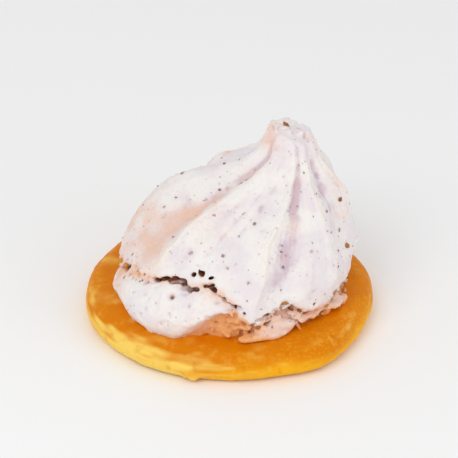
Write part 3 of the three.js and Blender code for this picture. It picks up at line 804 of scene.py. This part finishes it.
def make_biscuit():
    """The round of shortbread, with a fine dry grain and a few crumbs on its rim."""
    outline, flat_radius = biscuit_outline()
    angle = np.linspace(-180, 180, BISCUIT_SIDES, endpoint=False)
    a = np.radians(angle)
    wave = 1 + sum(share * np.cos(np.radians(count * angle + start)) for count, share, start in BISCUIT_WAVES)
    wave = wave + sum(share * hill(angle, centre, width) for centre, width, share in RIM_BULGES)
    r = outline[:, :1] * wave
    points = turned(r, outline[:, 1:], a)
    tangent = np.gradient(outline, axis=0)
    out = np.stack([tangent[:, 1], -tangent[:, 0]], -1)
    out /= np.linalg.norm(out, axis=1)[:, None]
    lift, smear, pits = biscuit_relief(points, r, a)
    level = (points[..., 2] < 0.02) & (r < flat_radius)
    lift = np.where(level, np.minimum(lift, 0) * 0.3, lift)
    points = points + turned(out[:, :1], out[:, 1:], a) * lift[..., None]
    points[..., 2] = np.maximum(points[..., 2], 0)
    points = np.vstack([points.reshape(-1, 3), [[0, 0, 0], [0, 0, SEAT]]])
    thing = make_mesh("shortbread_round", points, lathe_faces(len(outline), BISCUIT_SIDES))
    close_ends(thing, len(outline), BISCUIT_SIDES)
    colour_biscuit(thing, points, smear, pits)
    return thing


def chip_shapes(rng, kinds, corners):
    """Angular chips of radius about 1, each the hull of points on a ball: points and triangles."""
    shapes = []
    for _ in range(kinds):
        hull = bmesh.new()
        for point in rng.normal(size=(corners, 3)):
            hull.verts.new(point / np.linalg.norm(point) * rng.uniform(0.75, 1.15))
        bmesh.ops.convex_hull(hull, input=hull.verts)
        bmesh.ops.delete(hull, geom=[v for v in hull.verts if not v.link_faces], context="VERTS")
        bmesh.ops.triangulate(hull, faces=hull.faces)
        hull.verts.index_update()
        points = np.array([v.co[:] for v in hull.verts])
        shapes.append((points, np.array([[v.index for v in face.verts] for face in hull.faces])))
        hull.free()
    return shapes


def scatter(name, places, normals, sizes, rng, flatness, longer, sunk, corners):
    """One mesh of chips, each lying at a place on the skin and partly sunk in it."""
    shapes = chip_shapes(rng, 14, corners)
    points, faces, shades = [], [], []
    total = 0
    for place, normal, size in zip(places, normals, sizes):
        shape, triangles = shapes[rng.integers(len(shapes))]
        scale = size * rng.uniform(0.75, 1.2, 3) * (rng.uniform(1, longer), 1, flatness)
        z = normal + rng.normal(0, 0.3, 3)
        z /= np.linalg.norm(z)
        x = np.cross(z, rng.normal(size=3))
        x /= np.linalg.norm(x)
        turn = np.stack([x, np.cross(z, x), z])
        points.append((shape * scale) @ turn + place - normal * size * sunk)
        faces.append(triangles + total)
        shades.append(np.full(len(shape), rng.uniform()))
        total += len(shape)
    thing = make_mesh(name, np.vstack(points), np.vstack(faces), smooth_shading=False)
    add_values(thing, "chip", np.concatenate(shades))
    return thing


# Materials

# Where a mix node has its share and colours, and the mixed colour
COLOUR_INPUTS, COLOUR_OUTPUT = (0, 6, 7), 2


class Nodes:
    """Short ways to add shader nodes to one material."""

    def __init__(self, name):
        self.material = bpy.data.materials.new(name)
        self.material.use_nodes = True
        self.tree = self.material.node_tree
        self.shader = self.tree.nodes["Principled BSDF"]
        self.place = self.add("ShaderNodeTexCoord").outputs["Object"]

    def add(self, kind, **settings):
        node = self.tree.nodes.new(kind)
        for name, value in settings.items():
            setattr(node, name, value)
        return node

    def feed(self, socket, value):
        """Links a socket to an output, or sets its value."""
        if isinstance(value, bpy.types.NodeSocket):
            self.tree.links.new(value, socket)
        else:
            socket.default_value = value

    def set(self, node, inputs):
        """Feeds a node's inputs by name."""
        for name, value in inputs.items():
            self.feed(node.inputs[name], value)
        return node.outputs

    def noise(self, size_mm, detail=3.0, roughness=0.55):
        """Noise from 0 to 1 with features of about this size."""
        inputs = {"Vector": self.place, "Scale": 1 / (size_mm * MM), "Detail": detail, "Roughness": roughness}
        return self.set(self.add("ShaderNodeTexNoise"), inputs)["Fac"]

    def cells(self, size_mm):
        """Distance to the nearest of scattered points, in cells of about this size."""
        inputs = {"Vector": self.place, "Scale": 1 / (size_mm * MM)}
        return self.set(self.add("ShaderNodeTexVoronoi"), inputs)["Distance"]

    def value(self, name):
        """One of the numbers stored with the vertices."""
        return self.add("ShaderNodeAttribute", attribute_name=name).outputs["Fac"]

    def fit(self, value, low, high, start=0.0, end=1.0):
        """The value from low to high, fitted to start to end, and held there."""
        inputs = {"Value": value, "From Min": low, "From Max": high, "To Min": start, "To Max": end}
        return self.set(self.add("ShaderNodeMapRange", interpolation_type="SMOOTHSTEP"), inputs)["Result"]

    def math(self, operation, a, b):
        return self.set(self.add("ShaderNodeMath", operation=operation), {0: a, 1: b})["Value"]

    def blend(self, share, a, b):
        """A colour between two colours, each an output or linear numbers."""
        ends = [end if isinstance(end, bpy.types.NodeSocket) else (*end, 1) for end in (a, b)]
        node = self.add("ShaderNodeMix", data_type="RGBA")
        return self.set(node, dict(zip(COLOUR_INPUTS, [share] + ends)))[COLOUR_OUTPUT]

    def bump(self, height, depth_mm, after=None):
        """Relief of this depth, on top of other relief."""
        node = self.add("ShaderNodeBump")
        if after is not None:
            self.feed(node.inputs["Normal"], after)
        return self.set(node, {"Strength": 1.0, "Distance": depth_mm * MM, "Height": height})["Normal"]


def linear(red, green, blue):
    """Linear numbers for a screen colour given as 0 to 255."""
    def one(c):
        c /= 255
        return c / 12.92 if c <= 0.04045 else ((c + 0.055) / 1.055) ** 2.4
    return one(red), one(green), one(blue)


WHITE = linear(245, 240, 237)
SHADED_WHITE = linear(238, 230, 233)
CREAM_HIGHLIGHT = linear(250, 240, 226)
LAVENDER_SHADE = linear(214, 194, 205)
PINK_BEIGE = linear(240, 203, 184)
TOASTED = linear(240, 176, 114)
CREVICE = linear(138, 76, 44)
PURPLE = linear(104, 68, 68)
GOLD = linear(224, 128, 0)
YELLOW = linear(252, 184, 26)
PALE = linear(255, 216, 104)
BROWNED = linear(206, 104, 0)
SPECK = linear(120, 90, 102)
SPECK_FAINT = linear(196, 168, 172)
NUT = linear(212, 140, 68)
NUT_DARK = linear(126, 72, 40)


def meringue_material():
    """Dry matt meringue: white, a painted cream highlight on the crests, toasted where it is torn and at its
    foot, with painted shade in its hollows, cracks and holes.
    """
    n = Nodes("baked_meringue")
    patches = n.noise(7.0, 2.0)
    fine = n.noise(0.9, 4.0, 0.65)
    uneven = n.math("MULTIPLY", n.math("SUBTRACT", fine, 0.5), 0.6)
    colour = n.blend(n.fit(patches, 0.4, 0.62), WHITE, SHADED_WHITE)
    # painted shade: lavender-grey in the hollows between the crests
    colour = n.blend(n.fit(n.math("ADD", n.value("shade"), uneven), 0.0, 1.0), colour, LAVENDER_SHADE)
    # painted highlight: cream along the crests
    colour = n.blend(n.fit(n.value("crest"), 0.05, 0.9, 0.0, 0.85), colour, CREAM_HIGHLIGHT)
    # the pink-beige tinge is partly toasting and partly painted shade and reflection of the biscuit
    colour = n.blend(n.fit(n.math("ADD", n.value("tint"), uneven), 0.12, 0.95), colour, PINK_BEIGE)
    colour = n.blend(n.fit(n.math("ADD", n.value("toast"), uneven), 0.25, 0.95), colour, TOASTED)
    # painted shade in cracks and holes, with the inner crumb's own brown
    inside = n.blend(n.value("warm"), PURPLE, CREVICE)
    colour = n.blend(n.fit(n.value("deep"), 0.1, 0.9), colour, inside)
    dust = n.math("MULTIPLY", n.fit(n.cells(1.5), 0.22, 0.08), n.fit(n.noise(4.0, 2.0), 0.45, 0.6, 0.0, 0.6))
    colour = n.blend(dust, colour, SPECK_FAINT)
    relief = n.bump(fine, 0.18, n.bump(n.noise(0.4, 3.0, 0.6), 0.07))
    n.set(n.shader, {"Base Color": colour, "Roughness": n.fit(fine, 0.2, 0.8, 0.6, 0.8), "Normal": relief,
                     "Specular IOR Level": 0.25, "Subsurface Weight": 0.25, "Subsurface Scale": 1.2 * MM,
                     "Subsurface Radius": (1.0, 0.75, 0.6)})
    return n.material


def shortbread_material():
    """Golden shortbread: deeper on top, yellow and paler round its lower edge as painted light, with a fine
    dry grain.
    """
    n = Nodes("baked_shortbread")
    patches = n.noise(11.0, 3.0, 0.5)
    mottle = n.noise(2.4, 4.0, 0.6)
    grain = n.noise(0.5, 3.0, 0.7)
    low = n.math("ADD", n.value("low"), n.math("MULTIPLY", n.math("SUBTRACT", patches, 0.5), 1.2))
    # painted light: yellow down the side and on the rim
    colour = n.blend(n.fit(low, 0.15, 1.0), GOLD, YELLOW)
    # painted light: paler at the front left and low down; the pale streaks on the smears are partly their own
    # colour and partly painted highlight
    streaked = n.math("ADD", n.math("MULTIPLY", n.value("smear"), 0.45), n.value("pale"))
    colour = n.blend(n.fit(streaked, 0.15, 0.95, 0.0, 0.95), colour, PALE)
    colour = n.blend(n.fit(mottle, 0.52, 0.8, 0.0, 0.35), colour, PALE)
    colour = n.blend(n.fit(mottle, 0.48, 0.2, 0.0, 0.5), colour, BROWNED)
    grainy = n.math("ADD", patches, n.math("MULTIPLY", n.value("grainy"), 0.25))
    grains = n.math("MULTIPLY", n.fit(n.cells(0.8), 0.5, 0.1), n.fit(grainy, 0.5, 0.7, 0.0, 0.32))
    colour = n.blend(grains, colour, YELLOW)
    colour = n.blend(n.fit(n.value("pits"), 0.05, 0.8, 0.0, 0.5), colour, BROWNED)
    relief = n.bump(grain, 0.05, n.bump(mottle, 0.12))
    n.set(n.shader, {"Base Color": colour, "Roughness": n.fit(mottle, 0.3, 0.7, 0.42, 0.6), "Normal": relief,
                     "Specular IOR Level": 0.08})
    return n.material


def chip_material(name, dark, light, roughness):
    """Chips of nut, each with its own shade."""
    n = Nodes(name)
    mottle = n.noise(0.4, 3.0, 0.6)
    colour = n.blend(n.value("chip"), dark, light)
    colour = n.blend(n.fit(mottle, 0.45, 0.75, 0.0, 0.4), colour, light)
    rough = n.fit(mottle, 0.3, 0.7, roughness - 0.1, roughness + 0.1)
    n.set(n.shader, {"Base Color": colour, "Roughness": rough, "Normal": n.bump(mottle, 0.05)})
    return n.material


def floor_material():
    """The white matt surface that the biscuit rests on."""
    n = Nodes("white_table")
    n.set(n.shader, {"Base Color": (FLOOR_WHITE, FLOOR_WHITE, FLOOR_WHITE, 1), "Roughness": 0.9,
                     "Specular IOR Level": 0.1})
    return n.material


def as_piece(thing, material):
    """A finished piece of the biscuit: it takes a material and rides on the one body."""
    thing.data.materials.append(material)
    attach(thing, "root")


# Colours of the skin, and the nuts on it

class Skin:
    """The meringue's skin: its points with their directions, zones and hollows, which are below 0."""

    def __init__(self, field, points, normals):
        self.points, self.normals = points, normals
        self.angle, self.height, self.above, self.lobe = field.zones(points)
        self.lip = pick(field.lip, self.angle)
        self.close, self.relief, self.wide = (field.sample(field.blurred(r), points) for r in HOLLOW_REACHES)
        x0, y0 = section_middle(self.height)
        self.radius = np.hypot(points[:, 0] - x0, points[:, 1] - y0)
        # Strength of the painted cream highlight along the crests
        self.crest = thin_lines(self.angle, self.height, self.radius) / max(BEADS)
        self.buried = field.between(body_radius, self.angle, self.height) - self.radius

    def patches(self, rows):
        """The sum of soft patches."""
        return sum(hill(self.angle, *patch) * band(self.height, rise, fade) for *patch, rise, fade in rows)

    def uneven(self, mean, spread, size, shift):
        """A strength that varies over the skin."""
        return mean + spread * noise_at(self.points, size, shift)

    def toast(self):
        """Browning of the foot's crumb, strongest beside the lobe and near the biscuit."""
        low = BROWN_SEAT * (1 - step(self.height, 0, BROWN_SEAT_TO))
        browned = BROWN_FOOT + low + self.patches(BROWN_PATCHES)
        near_lip = np.exp(-((self.height - self.lip) / 1.8) ** 2)
        crumbly = hill(self.angle, *CRUMBLY_END) * near_lip * self.uneven(0.6, 0.6, 1.1, 9.9)
        seam = SEAM - SEAM_LOBE * self.lobe + hill(self.angle, *SEAM_SIDE)
        seam = seam * (1 - step(self.height, 0, SEAM_TO))
        return np.maximum((1 - self.above) * (1 - self.lobe) * browned, crumbly) + seam

    def tint(self):
        """Pink-beige tinge: toasting and painted shade in the deep groove on the left, painted shade in the
        hollows and on the torn ridge, partly painted shade and reflection of the biscuit on the outer sides,
        and toasting on the torn edges and the foot.
        """
        width = mix(*GROOVE_WIDTHS, step(self.height, *GROOVE_NARROWS))
        strength = mix(*GROOVE_STRENGTHS, step(self.height, *GROOVE_FADES)) * step(self.height, *GROOVE_RISES)
        groove = strength * np.exp(-((self.angle - TINTED_GROOVE) / width) ** 2)
        groove = groove * self.uneven(0.75, 0.6, 3.4, 41.3)
        tips = self.patches(TINTED_TIPS) * self.uneven(0.75, 0.75, 2.2, 17.3)
        torn = step(torn_ridge(self.angle, self.height, self.radius), 0.3, 1.6)
        torn = torn * np.clip(self.uneven(0.45, 0.5, 2.0, 33.1), 0, 1)
        edge = EDGE_TINT * np.exp(-((self.height - self.lip) / EDGE_TINT_REACH) ** 2)
        low = 1 - step(np.clip(self.height / self.lip, 0, 1), *FOOT_PATCH_TO)
        foot = FOOT_TINT * (1 - self.above) * (1 - self.lobe) + hill(self.angle, *FOOT_PATCH) * low
        foot = foot + hill(self.angle, *LOBE_END_TINT) * self.lobe
        broad = step(noise_at(self.points, 7.0, 60.6), -0.5, 0.6)
        sides = broad * (SIDES_TINT + self.patches(TINTED_SIDES))
        hollow = 0.25 * broad * step(-self.wide, 0.15, 0.6) + 0.3 * step(-self.relief, 0.1, 0.5)
        back = self.patches(TINTED_BACK)
        return np.clip(groove + back + tips + sides + torn + edge + foot + hollow, 0, 1)

    def shade(self):
        """Painted lavender-grey shade in the hollows between the crests, strongest in the one at the front
        right.
        """
        hollow = 0.7 * step(-self.relief, 0.0, 0.36) + 0.45 * step(-self.wide, 0.05, 0.6)
        return np.clip((hollow + self.patches(SHADED_GROOVE)) * self.uneven(0.75, 0.5, 2.6, 12.3), 0, 1)

    def deep(self):
        """How far down a crack or hole each point is, near the torn edge or under it: its dark is painted
        shade, with the inner crumb's own brown.
        """
        crumb = (1 - self.above) * (1 - self.lobe)
        over_lip = self.height - self.lip
        wide = step(-self.relief - 0.12 * crumb, 0.24, 0.62)
        narrow = step(-self.close - 0.06 * crumb, 0.12, 0.3) * (1 - 0.7 * self.lobe * (over_lip < -1.2))
        beside_crack = band(self.angle, PINCHED_FROM, DARK_CRACK_TO)
        opening = step(self.buried, 0.5, 1.3) * beside_crack * step(over_lip, -1.2, -0.5)
        return np.maximum(np.maximum(wide, narrow), opening) * (1 - step(over_lip, 2.8, 4.0))

    def nearest(self, angle, height):
        """The outermost point near an angle and a height."""
        return np.argmin((self.angle - angle) ** 2 + (3 * (self.height - height)) ** 2 - 2 * self.radius)

    def on_peak(self, sideways, back):
        """The highest point near an offset from the peak's middle."""
        x, y = self.points[:, 0] - PEAK_MIDDLE[0] - sideways, self.points[:, 1] - PEAK_MIDDLE[1] - back
        return np.argmin(x ** 2 + y ** 2 - 2 * self.height)


def make_meringue():
    """The piped meringue with its colours' values, and its skin for the nuts to lie on."""
    rng = np.random.default_rng(41)
    field = Field()
    field.shape()
    add_flakes(field, rng)
    add_openings(field, rng)
    field.roughen()
    add_crumbs(field, rng)
    add_holes(field, rng)
    points, faces = field.mesh()
    thing = make_mesh("piped_meringue", points, faces)
    skin = Skin(field, points, directions(thing))
    toast = skin.toast()
    # Values for the colours: painted shade, the painted crest highlight, toasting, the partly painted tinge
    # and the painted dark of cracks and holes
    add_values(thing, "shade", skin.shade())
    add_values(thing, "crest", skin.crest)
    add_values(thing, "toast", toast)
    add_values(thing, "tint", skin.tint())
    add_values(thing, "deep", skin.deep())
    add_values(thing, "warm", np.clip(hill(skin.angle, *WARM_CRACK) + step(toast, 0.3, 0.6), 0, 1))
    return thing, skin


def choose(rng, weight, count):
    return rng.choice(len(weight), count, replace=False, p=weight / weight.sum())


def make_specks(skin):
    """Fine dark specks of nut all through the meringue's skin, in loose clusters."""
    rng = np.random.default_rng(17)
    clusters = step(noise_at(skin.points, 5.5, 77.7), -0.3, 0.7) ** 2
    shaded = hill(skin.angle, 14, 12) + hill(skin.angle, 75, 30)
    shown = (skin.height > 0.6) * (skin.relief > -0.5)
    weight = (0.12 + clusters + 0.5 * shaded) * shown * (1 - 0.75 * skin.lobe)
    placed = [skin.nearest(angle, height) for angle, height in PLACED_SPECKS]
    chosen = np.concatenate([choose(rng, weight, SPECK_COUNT), placed])
    sizes = 0.11 + 0.3 * rng.beta(1.1, 3.0, len(chosen))
    sizes[SPECK_COUNT:] = rng.uniform(0.3, 0.46, len(PLACED_SPECKS))
    form = {"flatness": 0.5, "longer": 1.7, "sunk": 0.3, "corners": 8}
    return scatter("nut_specks", skin.points[chosen], skin.normals[chosen], sizes, rng, **form)


def make_bits(skin):
    """Larger golden pieces of nut, most at the ragged foot, some over the body and one on the peak."""
    rng = np.random.default_rng(29)
    up = skin.height / skin.lip
    foot = ((up > 0.25) & (up < 1.15) & (skin.lobe < 0.3)).astype(float)
    body = ((skin.height > skin.lip + 2) & (skin.height < 26) & (abs(skin.angle) > 60)).astype(float)
    placed = [skin.on_peak(*PEAK_BIT[:2])] + [skin.nearest(angle, height) for angle, height, _ in PLACED_BITS]
    placed_sizes = [PEAK_BIT[2]] + [size for _, _, size in PLACED_BITS]
    chosen = np.concatenate([choose(rng, foot, FOOT_BITS), choose(rng, body, BODY_BITS), placed])
    foot_sizes, body_sizes = rng.uniform(0.3, 0.75, FOOT_BITS), rng.uniform(0.25, 0.45, BODY_BITS)
    sizes = np.concatenate([foot_sizes, body_sizes, placed_sizes]) * 1.1
    form = {"flatness": 0.85, "longer": 1.5, "sunk": 0.35, "corners": 16}
    return scatter("nut_bits", skin.points[chosen], skin.normals[chosen], sizes, rng, **form)


# Build

meringue, skin = make_meringue()
as_piece(meringue, meringue_material())
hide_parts("meringue")
as_piece(make_specks(skin), chip_material("nut_speck", SPECK, SPECK_FAINT, 0.6))
as_piece(make_bits(skin), chip_material("toasted_nut", NUT_DARK, NUT, 0.5))
biscuit = make_biscuit()
as_piece(biscuit, shortbread_material())
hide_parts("biscuit")


# Stage, light and camera

def add_light(name, place, power, size):
    """A soft square light that faces the biscuit."""
    light = bpy.data.lights.new(name, "AREA")
    light.energy = power
    light.size = size
    lamp = bpy.data.objects.new(name, light)
    lamp.location = place
    lamp.rotation_euler = (TARGET - Vector(place)).to_track_quat("-Z", "Y").to_euler()
    bpy.context.scene.collection.objects.link(lamp)


ELEVATION = 31.0
DISTANCE = 0.7
PIXELS_PER_MM = 5.0
PICTURE_SIDE = 458
TARGET = Vector((0, 0, 0.0185))
FLOOR_HALF, FLOOR_WHITE = 900.0, 0.97
WORLD_STRENGTH = 0.72
# Name, place, watts and side of each light
LIGHTS = [("key", (-0.20, -0.34, 0.42), 0.76, 0.30), ("fill", (0.45, -0.34, 0.25), 0.42, 0.40)]

corners = np.array([[-1, -1, 0], [1, -1, 0], [1, 1, 0], [-1, 1, 0]]) * FLOOR_HALF
floor = make_mesh("floor", corners, np.array([[0, 1, 2, 3]]))
floor.data.materials.append(floor_material())

world = bpy.data.worlds.new("studio")
bpy.context.scene.world = world
world.use_nodes = True
background = world.node_tree.nodes["Background"]
background.inputs["Color"].default_value = (1, 1, 1, 1)
background.inputs["Strength"].default_value = WORLD_STRENGTH
for light in LIGHTS:
    add_light(*light)

tilt = math.radians(ELEVATION)
camera = bpy.data.objects.new("camera", bpy.data.cameras.new("camera"))
bpy.context.scene.collection.objects.link(camera)
camera.location = TARGET + DISTANCE * Vector((0, -math.cos(tilt), math.sin(tilt)))
camera.rotation_euler = (TARGET - camera.location).to_track_quat("-Z", "Y").to_euler()
camera.data.sensor_width = 36
camera.data.lens = camera.data.sensor_width * DISTANCE / (PICTURE_SIDE / PIXELS_PER_MM * MM)
bpy.context.scene.camera = camera
bpy.context.scene.view_settings.view_transform = "Standard"
